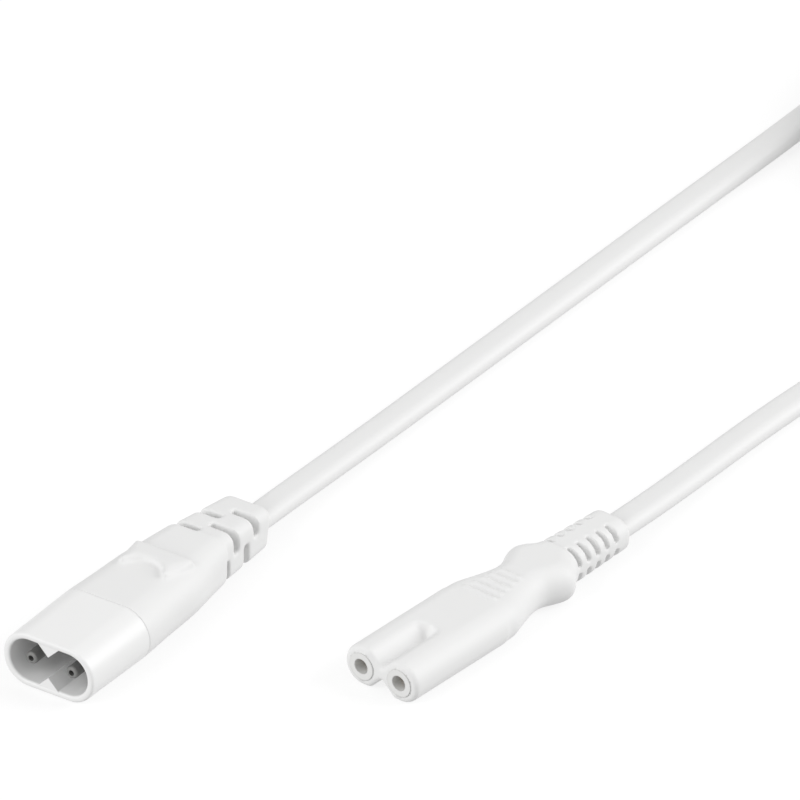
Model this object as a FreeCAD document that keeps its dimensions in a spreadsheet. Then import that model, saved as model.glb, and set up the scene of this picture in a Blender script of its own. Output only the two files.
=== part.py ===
import FreeCAD, Part
import math
import os
import re
import Sketcher

from FreeCAD import Placement, Rotation, Vector

# A figure eight mains extension lead: a two-pin plug in a shroud at one end, a two-hole
# socket connector at the other, and the flat two-core cord between them.
# Each connector is drawn with its mouth at y = 0, its cord leaving along +Y and its
# underside at z = 0, and is then placed on the surface that the lead lies on.

doc = FreeCAD.newDocument("figure_eight_lead")
sheet = doc.addObject("Spreadsheet::Sheet", "Sizes")

SIZES = [
    # Shared by both ends of the lead
    ("pin_pitch", 8.6),
    ("core_radius", 1.25),
    ("copper_radius", 0.55),
    ("core_spacing", 2.8),
    ("core_bend_run", 5.0),
    # Flat cord
    ("cord_width", 5.9),
    ("cord_straight", 16.0),
    ("plug_sheath_drop", 2.0),
    ("socket_sheath_drop", 0.45),
    ("cord_thick", 3.45),
    ("cord_clear", 0.01),
    # Socket connector: moulded grip
    ("socket_width", 16.44),
    ("socket_height", 7.84),
    ("socket_nose", 25.0),
    ("groove_depth", 2.55),
    ("groove_length", 12.7),
    ("groove_runout", 0.9),
    ("groove_shoulder", 1.3),
    ("groove_apex", 0.5),
    ("mouth_round", 0.9),
    ("grip_length", 47.9),
    ("grip_end_width", 10.2),
    # Socket connector: waist and wings, counted back from the grip's end
    ("waist_at", 10.3),
    ("waist_width", 11.0),
    ("wing_at", 4.2),
    ("wing_width", 14.85),
    # Socket connector: ribs on the grip
    ("rib_count", 5),
    ("rib_first", 27.0),
    ("rib_pitch", 2.05),
    ("rib_width", 1.1),
    ("rib_proud", 0.25),
    ("rib_reach_front", 3.7),
    ("rib_reach_rear", 2.4),
    # Socket connector: slotted sleeve round the cord, with its lengths counted from the grip's end
    ("sleeve_width", 9.7),
    ("sleeve_height", 7.2),
    ("sleeve_tip_width", 8.9),
    ("sleeve_tip_height", 6.6),
    ("sleeve_end", 15.2),
    ("sleeve_round", 3.0),
    ("sleeve_slots", 5),
    ("sleeve_slot_first", 0.35),
    ("sleeve_slot_pitch", 2.6),
    ("sleeve_slot_width", 1.0),
    ("sleeve_bridge_top", 3.3),
    ("sleeve_bridge_side", 1.2),
    # Socket connector: rigid insert and its two contacts
    ("hole_radius", 1.475),
    ("hole_lip", 2.5),
    ("boss_radius", 2.65),
    ("boss_proud", 0.2),
    ("boss_length", 14.5),
    ("insert_end", 20.0),
    ("contact_radius", 1.65),
    ("contact_wall", 0.45),
    ("contact_end", 13.0),
    ("contact_slit", 0.5),
    ("barrel_radius", 1.3),
    ("barrel_end", 20.5),
    ("socket_copper_start", 15.0),
    ("socket_core_start", 21.5),
    ("socket_core_join", 40.0),
    ("socket_sheath_start", 51.0),
    # Plug connector: rigid shroud
    ("plug_width", 19.6),
    ("plug_height", 11.0),
    ("plug_side_flat", 0.2),
    ("plug_mouth_width", 19.2),
    ("plug_mouth_height", 10.7),
    ("recess_width", 16.5),
    ("recess_height", 8.3),
    ("recess_depth", 12.5),
    ("tooth_reach", 2.1),
    ("shell_length", 17.0),
    ("rim_round", 0.5),
    ("neck_width", 14.5),
    ("neck_height", 6.0),
    ("neck_end", 25.0),
    ("flange_width", 16.0),
    ("flange_height", 7.4),
    ("flange_length", 2.5),
    # Plug connector: pins
    ("pin_radius", 1.2),
    ("pin_tip_set_back", 1.0),
    ("pin_tip_round", 0.5),
    ("pin_end", 24.0),
    ("pin_hollow_radius", 0.55),
    ("pin_hollow_depth", 1.5),
    ("collar_radius", 1.5),
    ("collar_length", 1.5),
    ("root_radius", 1.1),
    ("pin_barrel_radius", 1.35),
    ("pin_barrel_end", 29.0),
    ("plug_copper_start", 25.0),
    ("plug_core_start", 30.0),
    ("plug_core_join", 44.0),
    ("plug_sheath_start", 50.0),
    # Plug connector: moulded grip
    ("plug_grip_width", 17.7),
    ("plug_grip_height", 10.6),
    ("plug_grip_at", 34.0),
    ("plug_taper_width", 13.2),
    ("plug_taper_height", 10.2),
    ("plug_taper_round", 3.2),
    ("plug_taper_end", 45.7),
    # Plug connector: slotted relief, with its lengths counted from the end of the grip's taper
    ("relief_width", 12.2),
    ("relief_height", 9.7),
    ("relief_round", 2.3),
    ("relief_tip_width", 9.9),
    ("relief_tip_height", 8.2),
    ("relief_tip_round", 1.9),
    ("relief_end", 14.7),
    ("relief_drop", 1.0),
    ("relief_tilt", 9.0),
    ("relief_slots", 4),
    ("relief_slot_first", -0.1),
    ("relief_slot_pitch", 3.35),
    ("relief_slot_width", 1.6),
    # Plug connector: thumb stop
    ("stop_proud", 1.0),
    ("stop_fade", 0.6),
    ("stop_foot", 0.2),
    ("stop_foot_waist", 5.9),
    ("stop_foot_half_width", 6.3),
    ("stop_front", 28.7),
    ("stop_scoop", 31.7),
    ("stop_rear", 36.0),
    ("stop_tip_in", 4.2),
    ("stop_tip_out", 5.1),
    ("stop_half_width", 5.9),
    ("stop_waist", 4.2),
    # Wall between the slots of each relief and the cord inside it
    ("relief_wall", 0.65),
    ("end_round", 0.9),
    # Where the two connectors lie
    ("socket_x", 23.72),
    ("socket_y", -12.15),
    ("plug_x", -20.47),
    ("plug_y", -49.93),
    ("plug_turn", 5.58),
    # The coil that the unseen length of cord is wound into
    ("coil_x", -5.1),
    ("coil_y", 208.7),
    ("coil_outer", 39.6),
    ("coil_inner", 22.1),
    ("coil_layers", 2),
    ("coil_lead", 20.0),
    ("tie_width", 6.0),
    ("tie_thick", 0.8),
]

for row, (alias, value) in enumerate(SIZES, start=1):
    sheet.set("A%d" % row, alias)
    sheet.set("B%d" % row, str(value))
    sheet.setAlias("B%d" % row, alias)
doc.recompute()


def size(name):
    return float(sheet.get(name))


def bound(text):
    """An expression in which each alias of the sheet is written with the sheet's name."""
    aliases = {alias for alias, value in SIZES}
    return re.sub(r"[a-z_]+", lambda m: ("Sizes." if m.group() in aliases else "") + m.group(), text)


def bind(thing, **expressions):
    for name, text in expressions.items():
        thing.setExpression(name.replace("__", "."), bound(text))


# Each connector's axis lies half its mouth's height above the surface
socket_axis = "socket_height / 2"
plug_axis = "plug_height / 2"


def origin_plane(body, role):
    return next(f for f in body.Origin.OriginFeatures if f.Role == role)


def cross_section(body, name, along, width, height, corner, middle, tilt="0"):
    """A rounded rectangle square to the connector's axis, at the distance along it.

    A tilt leans it back about its line at z = 0."""
    sketch = body.newObject("Sketcher::SketchObject", name)
    sketch.AttachmentSupport = (origin_plane(body, "XZ_Plane"), [""])
    sketch.MapMode = "FlatFace"
    lean = float(sketch.evalExpression(bound(tilt)))
    sketch.AttachmentOffset = Placement(Vector(), Rotation(Vector(1, 0, 0), -lean))
    sketch.setExpression("AttachmentOffset.Base.z", "-(" + bound(along) + ")")
    half = float(sketch.evalExpression(bound(width))) / 2
    tall = float(sketch.evalExpression(bound(height))) / 2
    r = float(sketch.evalExpression(bound(corner)))
    mid = float(sketch.evalExpression(bound(middle)))
    corners = [(half - r, mid - tall + r), (half - r, mid + tall - r),
               (r - half, mid + tall - r), (r - half, mid - tall + r)]
    for k, (cx, cz) in enumerate(corners):
        before = corners[k - 1]
        down = Vector(math.sin(k * math.pi / 2), -math.cos(k * math.pi / 2), 0)
        line = Part.LineSegment(Vector(*before, 0) + down * r, Vector(cx, cz, 0) + down * r)
        circle = Part.Circle(Vector(cx, cz, 0), Vector(0, 0, 1), r)
        sketch.addGeometry(line)
        sketch.addGeometry(Part.ArcOfCircle(circle, (k - 1) * math.pi / 2, k * math.pi / 2))
    for k in range(8):
        sketch.addConstraint(Sketcher.Constraint("Tangent", k, 2, (k + 1) % 8, 1))
    for line, kind in ((0, "Horizontal"), (2, "Vertical"), (4, "Horizontal"), (6, "Vertical")):
        sketch.addConstraint(Sketcher.Constraint(kind, line))
    for arc in (3, 5, 7):
        sketch.addConstraint(Sketcher.Constraint("Equal", 1, arc))
    named = (("corner", Sketcher.Constraint("Radius", 1, r), corner),
             ("right", Sketcher.Constraint("DistanceX", -1, 1, 2, 1, half), "(" + width + ") / 2"),
             ("left", Sketcher.Constraint("DistanceX", 6, 1, -1, 1, half), "(" + width + ") / 2"),
             ("top", Sketcher.Constraint("DistanceY", -1, 1, 4, 1, mid + tall),
              "(" + middle + ") + (" + height + ") / 2"),
             ("tall", Sketcher.Constraint("DistanceY", 0, 1, 4, 1, 2 * tall), height))
    for label, constraint, text in named:
        index = sketch.addConstraint(constraint)
        sketch.renameConstraint(index, label)
        sketch.setExpression("Constraints." + label, bound(text))
    return sketch


def pad(body, sketch, name, length):
    feature = body.newObject("PartDesign::Pad", name)
    feature.Profile = sketch
    feature.Reversed = True
    bind(feature, Length=length)
    return feature


def pocket(body, sketch, name, depth):
    feature = body.newObject("PartDesign::Pocket", name)
    feature.Profile = sketch
    bind(feature, Length=depth)
    return feature


def loft(body, name, sketches, ruled=False):
    feature = body.newObject("PartDesign::AdditiveLoft", name)
    feature.Profile = sketches[0]
    feature.Sections = sketches[1:]
    feature.Ruled = ruled
    return feature


def cylinder(name, radius, start, end, x, z):
    """A round bar along the connector's axis, from start to end."""
    bar = doc.addObject("Part::Cylinder", name)
    bar.Placement = Placement(Vector(), Rotation(Vector(1, 0, 0), -90))
    bind(bar, Radius=radius, Height="(" + end + ") - (" + start + ")",
         Placement__Base__x=x, Placement__Base__y=start, Placement__Base__z=z)
    return bar


def block(name, low, high):
    """A box between two corners, each given as three expressions."""
    box = doc.addObject("Part::Box", name)
    spans = ["(" + b + ") - (" + a + ")" for a, b in zip(low, high)]
    bind(box, Length=spans[0], Width=spans[1], Height=spans[2], Placement__Base__x=low[0],
         Placement__Base__y=low[1], Placement__Base__z=low[2])
    return box


def fuse(name, *pieces):
    joined = doc.addObject("Part::MultiFuse", name)
    joined.Shapes = list(pieces)
    return joined


def cut(name, base, *tools):
    left = doc.addObject("Part::Cut", name)
    left.Base = base
    left.Tool = tools[0] if len(tools) == 1 else fuse(name + "_cutters", *tools)
    return left


def solid_object(name, shape):
    """A form that is swept or drawn in code from the sheet's sizes."""
    thing = doc.addObject("Part::Feature", name)
    thing.Shape = shape
    return thing


def rounded_edges(name, base, radius, wanted):
    """Rounds the edges of base that wanted picks by their shape."""
    doc.recompute()
    chosen = [i for i, edge in enumerate(base.Shape.Edges, start=1) if wanted(edge)]
    feature = doc.addObject("Part::Fillet", name)
    feature.Base = base
    feature.Edges = [(i, size(radius), size(radius)) for i in chosen]
    return feature


def lies_at(along):
    """Picks the edges that lie in the plane at this distance along the axis."""
    return lambda edge: all(abs(v.Y - along) < 1e-4 for v in edge.Vertexes) \
        and abs(edge.BoundBox.YLength) < 1e-4


def eased(start, end, share):
    """A size between two others, on a curve that leaves and meets both of them smoothly."""
    weight = (1 - math.cos(math.pi * share)) / 2
    return "(%s) + ( (%s) - (%s) ) * %.6f" % (start, end, start, weight)


def between(start, end, share):
    return "(%s) + ( (%s) - (%s) ) * %.6f" % (start, end, start, share)


def bent_path(points):
    """Straight runs joined by tangent arcs, each as large as its two runs allow."""
    spots = [Vector(*p) for p in points]
    edges, radii, here = [], [], spots[0]
    for before, corner, after in zip(spots, spots[1:], spots[2:]):
        way_in = (corner - before).normalize()
        way_out = (after - corner).normalize()
        turn = way_in.getAngle(way_out)
        reach = 0.45 * min((corner - before).Length, (after - corner).Length)
        radii.append(reach / math.tan(turn / 2))
        first, last = corner - way_in * reach, corner + way_out * reach
        inward = (way_out - way_in).normalize()
        middle = corner + inward * (radii[-1] / math.cos(turn / 2) - radii[-1])
        edges.append(Part.LineSegment(here, first).toShape())
        edges.append(Part.Arc(first, middle, last).toShape())
        here = last
    edges.append(Part.LineSegment(here, spots[-1]).toShape())
    return edges, radii


def carried(edges, face):
    """The face carried along straight runs and arcs that join without a corner, as one solid."""
    pieces = []
    for edge in edges:
        start, end = edge.Vertexes[0].Point, edge.Vertexes[-1].Point
        if isinstance(edge.Curve, Part.Circle):
            centre = edge.Curve.Center
            axis = (start - centre).cross(end - centre)
            turn = math.degrees((start - centre).getAngle(end - centre))
            pieces.append(face.revolve(centre, axis, turn))
            face = face.copy()
            face.rotate(centre, axis, turn)
        else:
            pieces.append(face.extrude(end - start))
            face = face.copy()
            face.translate(end - start)
    return pieces[0].fuse(pieces[1:]).removeSplitter()


def disc(centre, along, radius):
    return Part.Face(Part.Wire([Part.Circle(centre, along, radius).toShape()]))


def flat_oval(centre, along, width, thick):
    """The cord's section: two round edges and two flat faces, lying flat."""
    side = Vector(0, 0, 1).cross(along).normalize()
    up = Vector(0, 0, 1)
    half, r = (width - thick) / 2, thick / 2
    right, left = centre + side * half, centre - side * half
    return Part.Face(Part.Wire([
        Part.LineSegment(left - up * r, right - up * r).toShape(),
        Part.Arc(right - up * r, right + side * r, right + up * r).toShape(),
        Part.LineSegment(right + up * r, left + up * r).toShape(),
        Part.Arc(left + up * r, left - side * r, left - up * r).toShape(),
    ]))


# Placements of the two connectors on the surface
socket_place = Placement(Vector(size("socket_x"), size("socket_y"), 0), Rotation())
plug_place = Placement(Vector(size("plug_x"), size("plug_y"), 0),
                       Rotation(Vector(0, 0, 1), size("plug_turn")))

finished = []


def finish(thing, node, place):
    thing.Label = node
    thing.Placement = place.multiply(thing.Placement)
    finished.append(thing)


# Cord: two runs, each from inside its connector to the coil. Both ends of a run are in line
# with what they meet, and the points between them are chosen by hand.
floor_level = size("cord_thick") / 2 + size("cord_clear")
top_level = size("cord_width") * 1.5
coil_middle = Vector(size("coil_x"), size("coil_y"), 0)
turn_radius = size("coil_outer") - size("cord_thick") / 2 - 0.1
socket_level = size("socket_height") / 2
plug_level = size("plug_height") / 2
plug_sheath_level = plug_level - size("plug_sheath_drop")
socket_sheath_level = socket_level - size("socket_sheath_drop")


def leaving(place, start, level):
    """The sheath's end inside a connector, and a point straight behind the connector."""
    return [tuple(place.multVec(Vector(0, start + step, level))) for step in (0, size("cord_straight"))]


def joining(angle, level, turn):
    """The straight end of a run, where it meets the short lead of the coil's outer turn."""
    out = Vector(math.cos(math.radians(angle)), math.sin(math.radians(angle)), 0)
    away = Vector(out.y, -out.x, 0) * turn
    meets = coil_middle + out * turn_radius + Vector(0, 0, level)
    gate = meets + away * size("coil_lead")
    return [tuple(gate + away * size("cord_straight")), tuple(gate)], meets


plug_join, plug_meets = joining(184.83, floor_level, -1)
socket_join, socket_meets = joining(-10.0, top_level, 1)

plug_route = leaving(plug_place, size("plug_sheath_start"), plug_sheath_level) + [
    (-29.95, 45.0, 2.1), (-32.8, 78.0, floor_level), (-35.4, 112.0, floor_level),
    (-37.9, 144.0, floor_level)] + plug_join
socket_route = leaving(socket_place, size("socket_sheath_start"), socket_sheath_level) + [
    (21.6, 74.5, 2.3), (19.4, 97.0, floor_level), (18.9, 120.0, floor_level),
    (21.2, 144.0, 3.8)] + socket_join


def cord_tube(route):
    edges, radii = bent_path(route)
    path = Part.Wire(edges)
    along = (Vector(*route[1]) - Vector(*route[0])).normalize()
    outline = flat_oval(Vector(*route[0]), along, size("cord_width"), size("cord_thick"))
    return carried(edges, outline), path, radii


plug_cord, plug_path, plug_radii = cord_tube(plug_route)
socket_cord, socket_path, socket_radii = cord_tube(socket_route)

# The coil: one closed ring of the outer shape of its turns, with a short lead at each end
coil_height = size("cord_width") * size("coil_layers")
wall = Part.makeCylinder(size("coil_outer"), coil_height, coil_middle)
coil = wall.cut(Part.makeCylinder(size("coil_inner"), coil_height, coil_middle))
coil = coil.makeChamfer(1.0, [e for e in coil.Edges if isinstance(e.Curve, Part.Circle)])
for meets, join in ((plug_meets, plug_join), (socket_meets, socket_join)):
    gate = Vector(*join[1])
    along = (meets - gate).normalize()
    outline = flat_oval(gate, along, size("cord_width"), size("cord_thick"))
    coil = coil.fuse(outline.extrude(along * size("coil_lead")))
coil = coil.removeSplitter()

# Tie: a thin band round all the turns, on the coil's far side, with its own place under them
band = size("tie_thick")
tie = Part.makeBox(size("tie_width"), size("coil_outer") - size("coil_inner") + 2 * band,
                   coil_height + band,
                   coil_middle + Vector(-size("tie_width") / 2, size("coil_inner") - band, 0))
under_tie = Part.makeBox(size("tie_width"), size("coil_outer") * 2, band,
                         coil_middle - Vector(size("tie_width") / 2, 0, 0))
coil = coil.cut(under_tie)
tie = tie.cut(coil)

for node, shape in (("cord_plug_run", plug_cord), ("cord_socket_run", socket_cord),
                    ("cord_coil", coil), ("cord_tie", tie)):
    finish(solid_object(node, shape), node, Placement())

# The cord's sheathed ends, moved back to each connector's own frame to cut its seat
socket_sheath = socket_cord.copy()
socket_sheath.transformShape(socket_place.inverse().toMatrix())
plug_sheath = plug_cord.copy()
plug_sheath.transformShape(plug_place.inverse().toMatrix())


def lead_path(side, start, join, end, level, end_level):
    """A core's way from behind its contact, in line with the pin, to its place in the cord."""
    out = side * size("pin_pitch") / 2
    close = side * size("core_spacing") / 2
    points = [(out, start, level), (out, start + size("core_bend_run"), level),
              (close, join, end_level), (close, end, end_level)]
    return bent_path(points)[0]


def core_pair(prefix, copper_start, core_start, join, end, level, end_level):
    """The two insulated cores and their copper, from the contacts to the cord's sheath."""
    made = []
    for side, colour in ((-1, "brown"), (1, "blue")):
        out = Vector(side * size("pin_pitch") / 2, 0, level)
        way = Vector(0, 1, 0)
        path = lead_path(side, core_start, join, end, level, end_level)
        crimped = Part.LineSegment(out + way * copper_start, out + way * core_start).toShape()
        copper = carried([crimped] + path, disc(out + way * copper_start, way, size("copper_radius")))
        jacket = carried(path, disc(out + way * core_start, way, size("core_radius")))
        name = prefix + "_core_" + colour
        strands = solid_object(prefix + "_copper_" + colour + "_form", copper)
        made.append((colour, cut(name, solid_object(name + "_form", jacket), strands), strands))
    return made


# Socket connector

socket_cores = core_pair("socket", size("socket_copper_start"), size("socket_core_start"),
                         size("socket_core_join"), size("socket_sheath_start"), socket_level,
                         socket_sheath_level)

# Rigid insert: two tubes that stand a little proud of the mouth, on one block behind them
half_pitch = {"left": "-pin_pitch / 2", "right": "pin_pitch / 2"}
tubes = [cylinder("boss_" + s, "boss_radius", "-boss_proud", "boss_length + 0.5", x, socket_axis)
         for s, x in half_pitch.items()]
insert_body = doc.addObject("PartDesign::Body", "insert_block")
block_sketch = cross_section(insert_body, "insert_section", "boss_length", "pin_pitch + boss_radius * 2",
                             "boss_radius * 2", "boss_radius - 0.1", socket_axis)
pad(insert_body, block_sketch, "insert_pad", "insert_end - boss_length")
insert_form = fuse("insert_form", insert_body, *tubes)

contacts = {}
insert_bores = []
for s, x in half_pitch.items():
    sleeve = cylinder("spring_" + s, "contact_radius", "hole_lip", "contact_end", x, socket_axis)
    hollow = cylinder("spring_hollow_" + s, "contact_radius - contact_wall", "hole_lip - 1",
                      "contact_end - contact_wall", x, socket_axis)
    inward = ("0", x) if s == "right" else (x, "0")
    slit = block("slit_" + s, (inward[0], "hole_lip - 1", socket_axis + " - contact_slit / 2"),
                 (inward[1], "contact_end - 2", socket_axis + " + contact_slit / 2"))
    barrel = cylinder("barrel_" + s, "barrel_radius", "contact_end - contact_wall", "barrel_end",
                      x, socket_axis)
    wire_hole = cylinder("wire_hole_" + s, "copper_radius", "socket_copper_start", "barrel_end + 1",
                         x, socket_axis)
    shaped = cut("spring_shape_" + s, sleeve, hollow, slit)
    contacts[s] = cut("socket_contact_" + s, fuse("contact_form_" + s, shaped, barrel), wire_hole)
    insert_bores += [
        cylinder("mouth_hole_" + s, "hole_radius", "-boss_proud - 1", "hole_lip", x, socket_axis),
        cylinder("spring_seat_" + s, "contact_radius", "hole_lip", "contact_end", x, socket_axis),
        cylinder("barrel_seat_" + s, "barrel_radius", "contact_end - 0.1", "barrel_end + 1", x,
                 socket_axis),
    ]
socket_insert = cut("socket_insert", insert_form, *insert_bores)

# Moulded grip: a straight nose, then a waist, two wings and the sleeve, all in one
grip = doc.addObject("PartDesign::Body", "socket_grip")
side_flat = "socket_height / 2 - 0.1"
nose = cross_section(grip, "nose_section", "0", "socket_width", "socket_height", side_flat, socket_axis)
pad(grip, nose, "nose", "socket_nose")
waist, wings = "grip_length - waist_at", "grip_length - wing_at"
stretches = (("socket_nose", waist, "socket_width", "waist_width"),
             (waist, wings, "waist_width", "wing_width"),
             (wings, "grip_length", "wing_width", "grip_end_width"))
sections = [cross_section(grip, "grip_start", "socket_nose", "socket_width", "socket_height",
                          side_flat, socket_axis)]
for k, (start, end, wide, narrow) in enumerate(stretches):
    for share in (0.2, 0.4, 0.6, 0.8, 1.0) if k == 0 else (0.25, 0.5, 0.75, 1.0):
        sections.append(cross_section(
            grip, "grip_%d_%s" % (k, share), between(start, end, share),
            eased(wide, narrow, share), "socket_height", side_flat, socket_axis))
loft(grip, "grip_waist_and_wings", sections)
sleeve_tip = "grip_length + sleeve_end"
sleeve_ends = [
    cross_section(grip, "sleeve_root", "grip_length - 0.4", "sleeve_width", "sleeve_height",
                  "sleeve_round", socket_axis),
    cross_section(grip, "sleeve_tip", sleeve_tip, "sleeve_tip_width", "sleeve_tip_height",
                  "sleeve_round", socket_axis),
]
loft(grip, "sleeve", sleeve_ends, ruled=True)


def groove_outline(along, scale):
    """A vee with a round foot and rounded shoulders, shrunk towards the grip's top face."""
    top, slope = size("socket_height"), math.sqrt(0.5)
    foot, shoulder = size("groove_apex"), size("groove_shoulder")
    foot_z = top - size("groove_depth") + foot
    reach = top - shoulder + 2 * slope * (shoulder + foot) - foot_z

    def at(x, z):
        return Vector(x * scale, along, top + (z - top) * scale)

    ends = {}
    for side in (-1, 1):
        ends[side] = [at(side * foot * slope, foot_z - foot * slope),
                      at(side * (reach - shoulder * slope), top - shoulder + shoulder * slope),
                      at(side * (reach - shoulder * math.sin(math.radians(22.5))),
                         top - shoulder + shoulder * math.cos(math.radians(22.5))),
                      at(side * reach, top), at(side * reach, top + 1)]
    right, left = ends[1], ends[-1]
    edges = [Part.Arc(left[0], at(0, foot_z - foot), right[0]).toShape(),
             Part.LineSegment(right[0], right[1]).toShape(),
             Part.Arc(right[1], right[2], right[3]).toShape(),
             Part.LineSegment(right[3], right[4]).toShape(),
             Part.LineSegment(right[4], left[4]).toShape(),
             Part.LineSegment(left[4], left[3]).toShape(),
             Part.Arc(left[3], left[2], left[1]).toShape(),
             Part.LineSegment(left[1], left[0]).toShape()]
    return Part.Wire(edges)


groove = Part.makeLoft([groove_outline(-1, 1), groove_outline(size("groove_length"), 1),
                        groove_outline(size("groove_length") + size("groove_runout"), 0.4)],
                       True, True)
under = groove.mirror(Vector(0, 0, socket_level), Vector(0, 0, 1))
grooved = cut("grooved_grip", grip, solid_object("groove_top", groove),
              solid_object("groove_under", under))
mouth = rounded_edges("grip_mouth", grooved, "mouth_round", lies_at(0))
ended = rounded_edges("grip_ended", mouth, "end_round", lies_at(size("grip_length") + size("sleeve_end")))

# Fine ribs across the top of the waist: round bars sunk in it, shorter towards the wings
ribs = []
bar = (size("rib_width") ** 2 / 4 + size("rib_proud") ** 2) / (2 * size("rib_proud"))
for k in range(int(size("rib_count"))):
    share = k / (size("rib_count") - 1)
    reach = size("rib_reach_front") + (size("rib_reach_rear") - size("rib_reach_front")) * share
    along = size("rib_first") + size("rib_pitch") * k
    low = Vector(-reach, along, size("socket_height") + size("rib_proud") - bar)
    ribs.append(Part.makeCylinder(bar, 2 * reach, low, Vector(1, 0, 0)))
rib_set = solid_object("rib_bars", Part.makeCompound(ribs))
ribbed = fuse("ribbed_grip", ended, rib_set)


def slab(name, along, width):
    """A cut square across a sleeve, wider and higher than the sleeve itself."""
    return block(name, ("-plug_width", along + " - (" + width + ") / 2", "-1"),
                 ("plug_width", along + " + (" + width + ") / 2", "plug_height + 2"))


def cord_seat(name, start, end, middle):
    """The wall that is left round the cord at the bottom of the slots."""
    body = doc.addObject("PartDesign::Body", name)
    outline = cross_section(body, name + "_section", start, "cord_width + relief_wall * 2",
                            "cord_thick + relief_wall * 2", "cord_thick / 2", middle)
    pad(body, outline, name + "_pad", "(" + end + ") - (" + start + ")")
    return body


first_slot = "grip_length + sleeve_slot_first + sleeve_slot_width / 2"
slabs = [slab("sleeve_slab_%d" % k, first_slot + " + sleeve_slot_pitch * %d" % k, "sleeve_slot_width")
         for k in range(int(size("sleeve_slots")))]
bridge_up = block("sleeve_bridge_up", ("-sleeve_bridge_top / 2", "grip_length - 1", "-2"),
                  ("sleeve_bridge_top / 2", sleeve_tip, "plug_height + 3"))
bridge_across = block("sleeve_bridge_across",
                      ("-plug_width - 1", "grip_length - 1", socket_axis + " - sleeve_bridge_side / 2"),
                      ("plug_width + 1", sleeve_tip, socket_axis + " + sleeve_bridge_side / 2"))
sleeve_cutter = cut("sleeve_slot_cutter", fuse("sleeve_slabs", *slabs), bridge_up, bridge_across,
                    cord_seat("sleeve_core", "grip_length - 1", sleeve_tip,
                              socket_axis + " - socket_sheath_drop"))

socket_inside = [insert_form, sleeve_cutter, solid_object("socket_sheath", socket_sheath)]
socket_inside += [cylinder("barrel_room_" + s, "barrel_radius", "insert_end - 0.5", "barrel_end", x,
                           socket_axis) for s, x in half_pitch.items()]
for colour, jacket, strands in socket_cores:
    socket_inside += [solid_object("socket_bed_" + colour, jacket.Base.Shape), strands]
socket_overmould = cut("socket_overmould", ribbed, *socket_inside)

finish(socket_overmould, "socket_overmould", socket_place)
finish(socket_insert, "socket_insert", socket_place)
for s in half_pitch:
    finish(contacts[s], "socket_contact_" + s, socket_place)
for colour, jacket, strands in socket_cores:
    finish(jacket, "socket_core_" + colour, socket_place)
    copy = solid_object("socket_copper_" + colour, strands.Shape)
    finish(copy, "socket_copper_" + colour, socket_place)

# Plug connector

plug_cores = core_pair("plug", size("plug_copper_start"), size("plug_core_start"),
                       size("plug_core_join"), size("plug_sheath_start"), plug_level,
                       plug_sheath_level)

# Two pins, each with a collar that the shroud's floor is moulded round and a crimped tail
pins = {}
for s, x in half_pitch.items():
    shank = cylinder("pin_shank_" + s, "pin_radius", "pin_tip_set_back", "recess_depth", x, plug_axis)
    tipped = rounded_edges("pin_tip_" + s, shank, "pin_tip_round", lies_at(size("pin_tip_set_back")))
    collar = cylinder("pin_collar_" + s, "collar_radius", "recess_depth", "recess_depth + collar_length",
                      x, plug_axis)
    root = cylinder("pin_root_" + s, "root_radius", "recess_depth", "pin_end", x, plug_axis)
    tail = cylinder("pin_tail_" + s, "pin_barrel_radius", "pin_end", "pin_barrel_end", x, plug_axis)
    bore = cylinder("pin_bore_" + s, "copper_radius", "plug_copper_start", "pin_barrel_end + 1", x,
                    plug_axis)
    hollow = cylinder("pin_hollow_" + s, "pin_hollow_radius", "0", "pin_tip_set_back + pin_hollow_depth",
                      x, plug_axis)
    pins[s] = cut("plug_pin_" + s, fuse("pin_form_" + s, tipped, collar, root, tail), bore, hollow)

# Shroud: an oval cup with a vee tooth above and below, and a flanged neck for the grip
shell = doc.addObject("PartDesign::Body", "plug_shell_body")
plug_round = "plug_height / 2 - plug_side_flat / 2"
mouth_round = "plug_mouth_height / 2 - plug_side_flat / 2"
loft(shell, "shell_draft", [
    cross_section(shell, "shell_mouth", "0", "plug_mouth_width", "plug_mouth_height", mouth_round,
                  plug_axis),
    cross_section(shell, "shell_back", "shell_length", "plug_width", "plug_height", plug_round,
                  plug_axis),
], ruled=True)
neck = cross_section(shell, "neck_section", "shell_length - 0.5", "neck_width", "neck_height",
                     "neck_height / 2 - 0.1", plug_axis)
pad(shell, neck, "neck", "neck_end - shell_length + 0.5")
flange = cross_section(shell, "flange_section", "neck_end - flange_length", "flange_width",
                       "flange_height", "flange_height / 2 - 0.1", plug_axis)
pad(shell, flange, "flange", "flange_length")
cup = cross_section(shell, "recess_section", "0", "recess_width", "recess_height",
                    "recess_height / 2 - plug_side_flat / 2", plug_axis)
pocket(shell, cup, "recess", "recess_depth")
doc.recompute()
rim = rounded_edges("shell_rim", shell, "rim_round", lies_at(0))


def tooth(up):
    """A vee rib along the recess, from its wall to the tooth's reach from the axis."""
    root = size("recess_height") / 2
    tip = size("tooth_reach")
    half = root - tip
    rise = Vector(0, 0, up)
    middle = Vector(0, 0.1, plug_level)
    blunt = 0.25
    outline = Part.makePolygon([
        middle + rise * (root + 0.3) - Vector(half + 0.3, 0, 0),
        middle + rise * (tip + blunt) - Vector(blunt, 0, 0),
        middle + rise * tip,
        middle + rise * (tip + blunt) + Vector(blunt, 0, 0),
        middle + rise * (root + 0.3) + Vector(half + 0.3, 0, 0),
        middle + rise * (root + 0.3) - Vector(half + 0.3, 0, 0),
    ])
    return Part.Face(outline).extrude(Vector(0, size("recess_depth") + 0.2, 0))


shell_form = fuse("shell_form", rim, solid_object("tooth_above", tooth(1)),
                  solid_object("tooth_below", tooth(-1)))
plug_shell = cut("plug_shell", shell_form, *[pins[s].Base for s in half_pitch])

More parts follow.
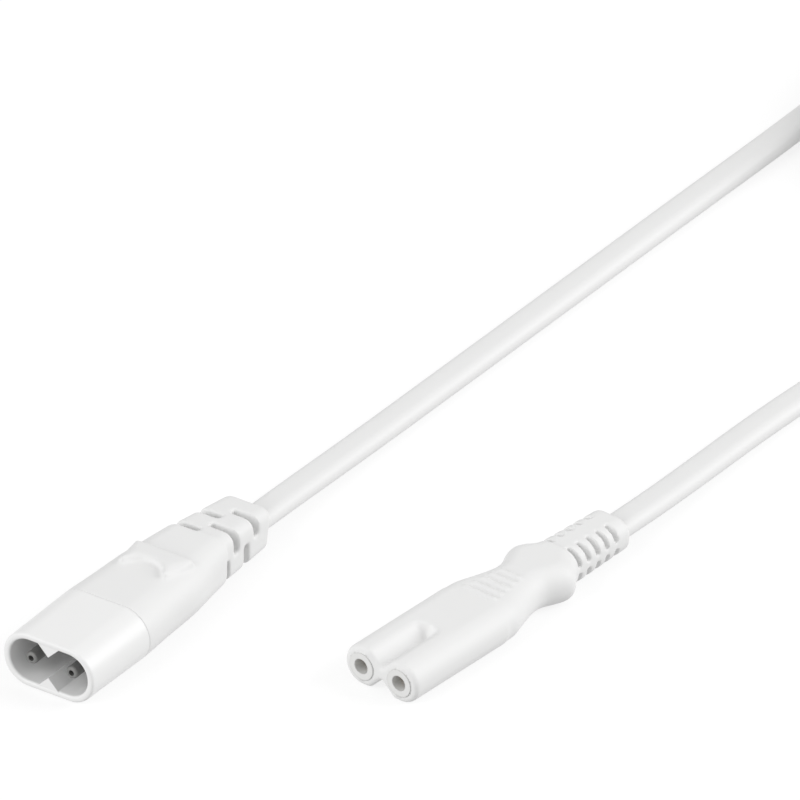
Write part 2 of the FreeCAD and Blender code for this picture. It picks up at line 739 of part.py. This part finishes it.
# Moulded grip: flush with the shroud, tapering to a boxy relief whose slots go round in turn
handle = doc.addObject("PartDesign::Body", "plug_grip")
front = ("shell_length", "plug_width", "plug_height", plug_round)
middle = ("plug_grip_at", "plug_grip_width", "plug_grip_height", "plug_grip_height / 2 - 0.4")
rear = ("plug_taper_end", "plug_taper_width", "plug_taper_height", "plug_taper_round")
easing = ((front, middle, (0.0, 0.33, 0.67)), (middle, rear, (0.0, 0.33, 0.67, 1.0)))
sections = []
for k, (start, end, shares) in enumerate(easing):
    for share in shares:
        sections.append(cross_section(
            handle, "handle_%d_%s" % (k, share), between(start[0], end[0], share),
            between(start[1], end[1], share), between(start[2], end[2], share),
            between(start[3], end[3], share), plug_axis))
loft(handle, "handle_taper", sections)
relief_tip = "plug_taper_end + relief_end"
relief_sections = [
    cross_section(handle, "relief_root", "plug_taper_end - 0.3", "relief_width", "relief_height",
                  "relief_round", plug_axis),
    cross_section(handle, "relief_tip", relief_tip, "relief_tip_width", "relief_tip_height",
                  "relief_tip_round", plug_axis + " - relief_drop", "relief_tilt"),
]
loft(handle, "relief", relief_sections, ruled=True)
leaning_end = size("plug_taper_end") + size("relief_end") - 0.5
handle_ended = rounded_edges("handle_ended", handle, "end_round",
                             lambda edge: all(v.Y > leaning_end for v in edge.Vertexes))


def thumb_stop():
    """A low stop for the thumb: a scooped front, pinched flanks that slope, and a rear ramp."""
    front_y, rear_y, scoop_y = size("stop_front"), size("stop_rear"), size("stop_scoop")
    tip_in, tip_out = size("stop_tip_in"), size("stop_tip_out")
    pinch_y = (front_y + rear_y) / 2 + 0.5
    handle_top = size("plug_height")
    base, top = handle_top - 2, handle_top + size("stop_proud")

    def outline(level, waist, wide):
        def at(x, y):
            return Vector(x, y, level)

        return Part.Wire([
            Part.LineSegment(at(-tip_out, front_y), at(-tip_in, front_y)).toShape(),
            Part.Arc(at(-tip_in, front_y), at(0, scoop_y), at(tip_in, front_y)).toShape(),
            Part.LineSegment(at(tip_in, front_y), at(tip_out, front_y)).toShape(),
            Part.Arc(at(tip_out, front_y), at(waist, pinch_y), at(wide, rear_y)).toShape(),
            Part.LineSegment(at(wide, rear_y), at(-wide, rear_y)).toShape(),
            Part.Arc(at(-wide, rear_y), at(-waist, pinch_y), at(-tip_out, front_y)).toShape(),
        ])

    foot_level = handle_top + size("stop_foot")
    foot = outline(foot_level, size("stop_foot_waist"), size("stop_foot_half_width"))
    rim = outline(top, size("stop_waist"), size("stop_half_width"))
    form = Part.makeLoft([foot, rim], True, True)
    form = form.fuse(Part.Face(foot).extrude(Vector(0, 0, base - foot_level)))
    ramp = Part.makePolygon([Vector(-size("plug_width"), y, z) for y, z in (
        (front_y - 1, base - 1), (rear_y + 1, base - 1), (rear_y, handle_top + size("stop_fade")),
        (scoop_y, top), (scoop_y - 0.5, top + 1), (front_y - 1, top + 1), (front_y - 1, base - 1))])
    return form.common(Part.Face(ramp).extrude(Vector(2 * size("plug_width"), 0, 0)))


stopped = fuse("stopped_handle", handle_ended, solid_object("thumb_stop", thumb_stop()))

# Slots: at each place two opposite corners are open, and the next place opens the other two
corners = []
for k in range(int(size("relief_slots"))):
    along = "plug_taper_end + relief_slot_first + relief_slot_pitch * %d" % k
    start, end = along, along + " + relief_slot_width"
    upper, lower = ("-plug_width", "0"), ("0", "plug_width")
    if k % 2:
        upper, lower = lower, upper
    corners.append(block("corner_up_%d" % k, (upper[0], start, plug_axis), (upper[1], end, "plug_height + 2")))
    corners.append(block("corner_down_%d" % k, (lower[0], start, "-2"), (lower[1], end, plug_axis)))
relief_cutter = cut("relief_slot_cutter", fuse("relief_corners", *corners),
                    cord_seat("relief_core", "plug_taper_end - 2", relief_tip,
                              plug_axis + " - plug_sheath_drop"))

plug_inside = [relief_cutter, solid_object("plug_sheath", plug_sheath), shell]
plug_inside += [pins[s].Base for s in half_pitch]
for colour, jacket, strands in plug_cores:
    plug_inside += [solid_object("plug_bed_" + colour, jacket.Base.Shape), strands]
plug_overmould = cut("plug_overmould", stopped, *plug_inside)

finish(plug_overmould, "plug_overmould", plug_place)
finish(plug_shell, "plug_shell", plug_place)
for s in half_pitch:
    finish(pins[s], "plug_pin_" + s, plug_place)
for colour, jacket, strands in plug_cores:
    finish(jacket, "plug_core_" + colour, plug_place)
    copy = solid_object("plug_copper_" + colour, strands.Shape)
    finish(copy, "plug_copper_" + colour, plug_place)

doc.recompute()

problems = [o.Name + " " + str(o.State) for o in doc.Objects
            if "Invalid" in o.State or "Error" in o.State]
for thing in finished:
    if thing.Shape.isNull() or not thing.Shape.isValid() or not thing.Shape.Solids:
        problems.append(thing.Label + " has no valid solid")
if problems:
    raise RuntimeError("; ".join(problems))

os.makedirs("parts", exist_ok=True)
for thing in finished:
    thing.Shape.exportStep("parts/" + thing.Label + ".step")
    box = thing.Shape.BoundBox
    print(thing.Label, "solids", len(thing.Shape.Solids), "volume", round(thing.Shape.Volume, 2),
          "box", [round(v, 2) for v in (box.XMin, box.YMin, box.ZMin, box.XMax, box.YMax, box.ZMax)])

section_area = (size("cord_width") - size("cord_thick")) * size("cord_thick") \
    + math.pi * (size("cord_thick") / 2) ** 2
for label, tube, path, radii in (("plug run", plug_cord, plug_path, plug_radii),
                                 ("socket run", socket_cord, socket_path, socket_radii)):
    print(label, "length", round(path.Length, 1), "radii", [round(r) for r in radii],
          "volume over section times length", round(tube.Volume / (section_area * path.Length), 4))
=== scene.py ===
import bpy
import math
from mathutils import Matrix, Vector


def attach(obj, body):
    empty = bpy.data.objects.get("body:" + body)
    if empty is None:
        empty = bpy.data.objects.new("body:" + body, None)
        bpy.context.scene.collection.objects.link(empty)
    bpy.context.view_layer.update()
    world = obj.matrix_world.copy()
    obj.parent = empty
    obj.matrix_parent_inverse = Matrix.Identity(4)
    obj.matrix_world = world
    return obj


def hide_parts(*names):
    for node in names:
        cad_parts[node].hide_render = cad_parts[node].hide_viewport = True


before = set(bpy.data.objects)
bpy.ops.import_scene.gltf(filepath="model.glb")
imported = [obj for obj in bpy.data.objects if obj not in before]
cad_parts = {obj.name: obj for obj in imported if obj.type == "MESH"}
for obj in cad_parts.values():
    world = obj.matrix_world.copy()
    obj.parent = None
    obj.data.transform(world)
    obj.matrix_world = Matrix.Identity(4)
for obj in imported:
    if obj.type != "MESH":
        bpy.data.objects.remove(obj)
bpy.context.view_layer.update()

scene = bpy.context.scene
MM = 1000  # Millimetres in a metre, for the places that are given in millimetres.


def pick(piece):
    """Makes the piece the one that is selected and active."""
    bpy.ops.object.select_all(action="DESELECT")
    piece.select_set(True)
    bpy.context.view_layer.objects.active = piece


def within(value, low=0.0, high=1.0):
    return min(high, max(low, value))


# Camera: the photo looks down at the lead from the front right, from far away.
look_at = Vector((-0.0365, 0.0645, 0.0))
line_of_sight = Vector((-0.5480, 0.6496, -0.5270)).normalized()
camera_distance = 6.6
bpy.ops.object.camera_add(location=look_at - line_of_sight * camera_distance,
                          rotation=line_of_sight.to_track_quat("-Z", "Y").to_euler())
camera = bpy.context.object
camera.name = "photo_camera"
camera.data.lens = 1677.5
camera.data.sensor_width = 36.0
camera.data.clip_start = 0.1
camera.data.clip_end = 20.0
scene.camera = camera

# Cord: a flat two-core cord from the plug to the socket connector, laid flat along these points.
plug_side = [(-25.33, -0.17, 3.5), (-26.89, 15.76, 3.5), (-29.95, 45.0, 2.1), (-32.8, 78.0, 1.74),
             (-35.4, 112.0, 1.74), (-37.9, 144.0, 1.74), (-39.71, 169.65, 1.74), (-41.06, 185.59, 1.8),
             (-41.3, 188.6, 2.0)]
socket_side = [(28.63, 182.44, 8.85), (25.85, 166.69, 8.7), (21.2, 144.0, 3.8), (18.9, 120.0, 1.74),
               (19.4, 97.0, 1.74), (21.6, 74.5, 2.3), (23.72, 54.85, 3.47), (23.72, 38.85, 3.47)]
flat, on_edge = 0.0, 90.0

# Between them the spare length is wound on edge, past the edge of the view: inward in a lower
# layer of turns, up, and outward again in a second layer.
coil_x, coil_y, outer_radius = -5.1, 208.7, 37.75
turn_width, layer_height, lower_layer = 3.5, 5.9, 2.95
points_per_turn, points_in_climb, full_turns = 16, 9.0, 7
half_step = 180.0 / points_per_turn
first_angle = 184.8 + half_step
last_angle = -10.0 - half_step - 360.0 * full_turns

route = [(x, y, z, flat) for x, y, z in plug_side]
count = round((first_angle - last_angle) * points_per_turn / 360.0)
for k in range(count + 1):
    share = k / count
    angle = math.radians(first_angle + (last_angle - first_angle) * share)
    turns_in = min(share, 1 - share) * (first_angle - last_angle) / 360.0
    # The curve touches the lines between its points half way, so the points lie further out.
    radius = (outer_radius - turn_width * turns_in) / math.cos(math.pi / points_per_turn)
    level = lower_layer + layer_height * within((share - 0.5) * count / points_in_climb + 0.5)
    route.append((coil_x + radius * math.cos(angle), coil_y + radius * math.sin(angle), level, on_edge))
route += [(x, y, z, flat) for x, y, z in socket_side]

cord_line = bpy.data.curves.new("cord_line", "CURVE")
cord_line.dimensions = "3D"
cord_line.twist_mode = "Z_UP"
spline = cord_line.splines.new("NURBS")
spline.points.add(len(route) - 1)
for point, (x, y, z, turn) in zip(spline.points, route):
    point.co = (x / MM, y / MM, z / MM, 1.0)
    point.tilt = math.radians(turn)
spline.order_u = 3
spline.use_endpoint_u = True
spline.resolution_u = 8
cord_curve = bpy.data.objects.new("cord_curve", cord_line)
scene.collection.objects.link(cord_curve)
bpy.context.view_layer.update()
bare = bpy.data.meshes.new_from_object(cord_curve)

# The cord's section, in metres: two round edges and two flat faces.
cord_width, cord_thickness = 0.0059, 0.00345
edge_radius = cord_thickness / 2
half_flat = cord_width / 2 - edge_radius
ring = [(half_flat + edge_radius * math.cos(math.radians(a)), edge_radius * math.sin(math.radians(a)))
        for a in range(-90, 91, 15)]
ring += [(-x, -y) for x, y in ring]
outline = bpy.data.curves.new("cord_section", "CURVE")
outline.dimensions = "2D"
oval = outline.splines.new("POLY")
oval.points.add(len(ring) - 1)
for point, (x, y) in zip(oval.points, ring):
    point.co = (x, y, 0.0, 1.0)
oval.use_cyclic_u = True
section = bpy.data.objects.new("cord_section", outline)
scene.collection.objects.link(section)
cord_line.bevel_mode = "OBJECT"
cord_line.bevel_object = section
cord_line.use_fill_caps = True
pick(cord_curve)
bpy.ops.object.convert(target="MESH")
cord = bpy.context.object
cord.name = "cord"
cord.data.flip_normals()  # A curve with this section comes out with its faces inward.
bpy.data.objects.remove(section)
bpy.ops.object.shade_smooth_by_angle(angle=math.radians(40))
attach(cord, "root")
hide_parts("cord_plug_run", "cord_coil", "cord_socket_run")


# The two moulded grips. Soft moulded plastic has round edges, so each grip is the solid's mesh
# laid anew in even faces, and then smoothed round its slots, ribs and stop.
MERGE_WITHIN, FACE_SIZE = 0.000002, 0.00028
WORN_AT_SEAM, WORN_AT_SPOT_SIDE = 0.05, 0.5


def worn(piece, steps, strength):
    """Smooths the piece's mesh in so many steps, each vertex by its own strength from 0 to 1."""
    group = piece.vertex_groups.new(name="soft")
    for v in piece.data.vertices:
        group.add([v.index], within(strength(v.co * MM)), "REPLACE")
    smooth = piece.modifiers.new("soft_edges", "SMOOTH")
    smooth.factor = 0.5
    smooth.iterations = steps
    smooth.vertex_group = "soft"
    bpy.ops.object.modifier_apply(modifier="soft_edges")
    piece.vertex_groups.clear()


def moulded(name, place, seam, steps, spot, spot_steps):
    """A soft copy of the node. It is smoothed from the seam on, and more in one spot, a box given
    by its middle and half its size in millimetres in the connector's own frame."""
    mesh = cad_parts[name].data.copy()
    mesh.transform(place.inverted())
    piece = bpy.data.objects.new(name.replace("overmould", "grip"), mesh)
    scene.collection.objects.link(piece)
    pick(piece)
    bpy.ops.object.mode_set(mode="EDIT")
    bpy.ops.mesh.select_all(action="SELECT")
    bpy.ops.mesh.remove_doubles(threshold=MERGE_WITHIN)
    bpy.ops.object.mode_set(mode="OBJECT")
    remesh = piece.modifiers.new("even_faces", "REMESH")
    remesh.mode = "VOXEL"
    remesh.voxel_size = FACE_SIZE
    bpy.ops.object.modifier_apply(modifier="even_faces")
    worn(piece, steps, lambda p: WORN_AT_SEAM + p.y - seam)
    middle, half = spot
    worn(piece, spot_steps,
         lambda p: WORN_AT_SPOT_SIDE + min(h - abs(c - m) for c, m, h in zip(p, middle, half)))
    piece.data.transform(place)
    bpy.ops.object.shade_smooth()
    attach(piece, "root")
    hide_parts(name)
    return piece


plug_turn = Matrix.Rotation(math.radians(5.58), 4, "Z")
plug_place = Matrix.Translation((-0.02047, -0.04993, 0.0)) @ plug_turn
socket_place = Matrix.Translation((0.02372, -0.01215, 0.0))
thumb_stop = (0.0, 32.2, 11.5), (7.5, 5.5, 2.2)
groove_end = (0.0, 9.0, 7.0), (4.2, 8.0, 2.6)
plug_grip = moulded("plug_overmould", plug_place, seam=17.4, steps=14, spot=thumb_stop, spot_steps=14)
socket_grip = moulded("socket_overmould", socket_place, seam=1.2, steps=2, spot=groove_end, spot_steps=26)

# The mouth of the socket's grip closes evenly round the insert's two tubes, 2.65 mm in radius.
tube_height, mouth_radius, mouth_depth_y = 3.92, 2.66, -11.0
ring_from, ring_to = 2.3, 3.0
for v in socket_grip.data.vertices:
    for tube_x in (19.42, 28.02):
        out = Vector((v.co.x * MM - tube_x, v.co.z * MM - tube_height))
        if ring_from < out.length < ring_to and v.co.y * MM < mouth_depth_y:
            out = out.normalized() * mouth_radius
            v.co.x, v.co.z = (tube_x + out.x) / MM, (tube_height + out.y) / MM

# The five ribs on the grip's top. After smoothing they have 0.21 mm from crest to dip, which looks
# fainter than in the photo, so each crest is raised and each dip sunk by the height given here.
# The ribs get shorter towards the cord, and fade out at their ends.
rib_first_y, rib_last_y, rib_pitch, rib_height = 14.85, 23.05, 2.05, 0.12
rib_reach, reach_lost_per_mm, rib_fade = 3.7, 0.16, 0.5
grip_middle_x, grip_top_from = 23.72, 7.0
for v in socket_grip.data.vertices:
    across, along = abs(v.co.x * MM - grip_middle_x), v.co.y * MM - rib_first_y
    on_ribs = -rib_pitch / 4 < along < rib_last_y - rib_first_y + rib_pitch / 4
    if on_ribs and v.co.z * MM > grip_top_from and v.normal.z > 0.5:
        share = within((rib_reach - reach_lost_per_mm * along - across) / rib_fade)
        v.co.z += rib_height * share * math.cos(2 * math.pi * along / rib_pitch) / MM


# Finishes
def add_node(tree, kind, inputs, output=0, **settings):
    """Adds a shader node and returns one output. An input is a value, or another node's output."""
    made = tree.nodes.new(kind)
    for name, value in settings.items():
        setattr(made, name, value)
    for name, value in inputs.items():
        if isinstance(value, bpy.types.NodeSocket):
            tree.links.new(value, made.inputs[name])
        else:
            made.inputs[name].default_value = value
    return made.outputs[output]


GRAIN_SIZE, GRAIN_DEPTH, MOTTLE_SIZE = 0.0004, 0.00005, 0.0048
DARKEST, ROUGHNESS_SPREAD = 0.985, 0.06


def finish(name, colour, roughness, metallic=0.0, grain=0.0, edge=0.0):
    """A plain finish: a nearly even colour and a fine grain. With an edge, the edges catch the
    light as if they were rounded by so much."""
    made = bpy.data.materials.new(name)
    made.use_nodes = True
    tree = made.node_tree
    surface = tree.nodes["Principled BSDF"]
    surface.inputs["Metallic"].default_value = metallic
    place = add_node(tree, "ShaderNodeTexCoord", {}, output="Object")
    mottle = add_node(tree, "ShaderNodeTexNoise",
                      {"Vector": place, "Scale": 1 / MOTTLE_SIZE, "Detail": 2.0})
    # Inputs 6 and 7 of a Mix node are its two colours, and output 2 is the mixed one.
    darker = (*[c * DARKEST for c in colour], 1)
    tint = add_node(tree, "ShaderNodeMix", {0: mottle, 6: darker, 7: (*colour, 1)},
                    output=2, data_type="RGBA")
    tree.links.new(tint, surface.inputs["Base Color"])
    spread = add_node(tree, "ShaderNodeMath", {0: mottle, 1: ROUGHNESS_SPREAD}, operation="MULTIPLY")
    rough = add_node(tree, "ShaderNodeMath", {0: roughness - ROUGHNESS_SPREAD / 2, 1: spread},
                     operation="ADD")
    tree.links.new(rough, surface.inputs["Roughness"])
    fine = add_node(tree, "ShaderNodeTexNoise",
                    {"Vector": place, "Scale": 1 / GRAIN_SIZE, "Detail": 3.0})
    bump = {"Height": fine, "Strength": grain, "Distance": GRAIN_DEPTH}
    if edge:
        bump["Normal"] = add_node(tree, "ShaderNodeBevel", {"Radius": edge}, samples=6)
    tree.links.new(add_node(tree, "ShaderNodeBump", bump), surface.inputs["Normal"])
    return made


# Moulded plastics: a smooth rigid shroud, satin soft grips and cord, a plainer insert and tie.
shroud_white = finish("shroud_white", (0.80, 0.80, 0.797), 0.38, grain=0.05, edge=0.0002)
grip_white = finish("grip_white", (0.76, 0.76, 0.757), 0.55, grain=0.12)
cord_white = finish("cord_white", (0.76, 0.76, 0.757), 0.5, grain=0.08)
insert_white = finish("insert_white", (0.72, 0.72, 0.71), 0.42, grain=0.1, edge=0.0003)
tie_white = finish("tie_white", (0.72, 0.72, 0.72), 0.5, grain=0.1)
# Metals and the insulation of the two cores. The pins' base colour is far darker than real nickel:
# painted shade, standing in for the recess's shade and the dark reflections the pins show there.
pin_nickel = finish("pin_nickel", (0.25, 0.25, 0.245), 0.7, metallic=0.85, grain=0.03)
contact_brass = finish("contact_brass", (0.66, 0.50, 0.24), 0.35, metallic=1.0, grain=0.05)
copper = finish("copper", (0.72, 0.36, 0.22), 0.35, metallic=1.0, grain=0.05)
core_brown = finish("core_brown", (0.16, 0.07, 0.03), 0.45, grain=0.1)
core_blue = finish("core_blue", (0.03, 0.12, 0.42), 0.45, grain=0.1)

for piece, material, slot in ((cord, cord_white, "cord_white"), (plug_grip, grip_white, "grip_white"),
                              (socket_grip, grip_white, "grip_white")):
    piece.data.materials.clear()
    piece.data.materials.append(material)
finishes = {
    "plug_shell": shroud_white,
    "socket_insert": insert_white, "cord_tie": tie_white,
    "plug_pin_left": pin_nickel, "plug_pin_right": pin_nickel,
    "socket_contact_left": contact_brass, "socket_contact_right": contact_brass,
    "plug_core_brown": core_brown, "socket_core_brown": core_brown,
    "plug_core_blue": core_blue, "socket_core_blue": core_blue,
    "plug_copper_brown": copper, "plug_copper_blue": copper,
    "socket_copper_brown": copper, "socket_copper_blue": copper,
}
for name, material in finishes.items():
    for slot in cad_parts[name].material_slots:
        slot.material = material

# Floor: a plain plane that glows up to white, and throws no diffuse light back on the lead.
bpy.ops.mesh.primitive_plane_add(size=60.0, location=(0, 0, -0.0001))
floor = bpy.context.object
floor.name = "floor"
floor.visible_diffuse = False
paper = bpy.data.materials.new("paper")
paper.use_nodes = True
paper_surface = paper.node_tree.nodes["Principled BSDF"]
paper_surface.inputs["Base Color"].default_value = (0.3, 0.3, 0.3, 1)
paper_surface.inputs["Emission Color"].default_value = (1, 1, 1, 1)
paper_surface.inputs["Emission Strength"].default_value = 0.72
paper_surface.inputs["Roughness"].default_value = 0.9
paper_surface.inputs["Specular IOR Level"].default_value = 0.0
floor.data.materials.append(paper)

world = bpy.data.worlds.new("studio")
world.use_nodes = True
world.node_tree.nodes["Background"].inputs["Color"].default_value = (1, 1, 1, 1)
world.node_tree.nodes["Background"].inputs["Strength"].default_value = 0.59
scene.world = world

# A soft key light from the back right, and a larger one from the front left: each has its place,
# its width in metres and its power in watts.
lit_point = Vector((0.0, 0.05, 0.0))
for name, place, across, power in (("key", (1.8, 1.6, 1.2), 1.8, 47.0),
                                   ("front_left", (-0.9, -2.6, 1.6), 2.6, 62.0)):
    bpy.ops.object.light_add(type="AREA", location=place,
                             rotation=(lit_point - Vector(place)).to_track_quat("-Z", "Y").to_euler())
    lamp = bpy.context.object
    lamp.name = name
    lamp.data.size = across
    lamp.data.energy = power
scene.view_settings.view_transform = "Standard"
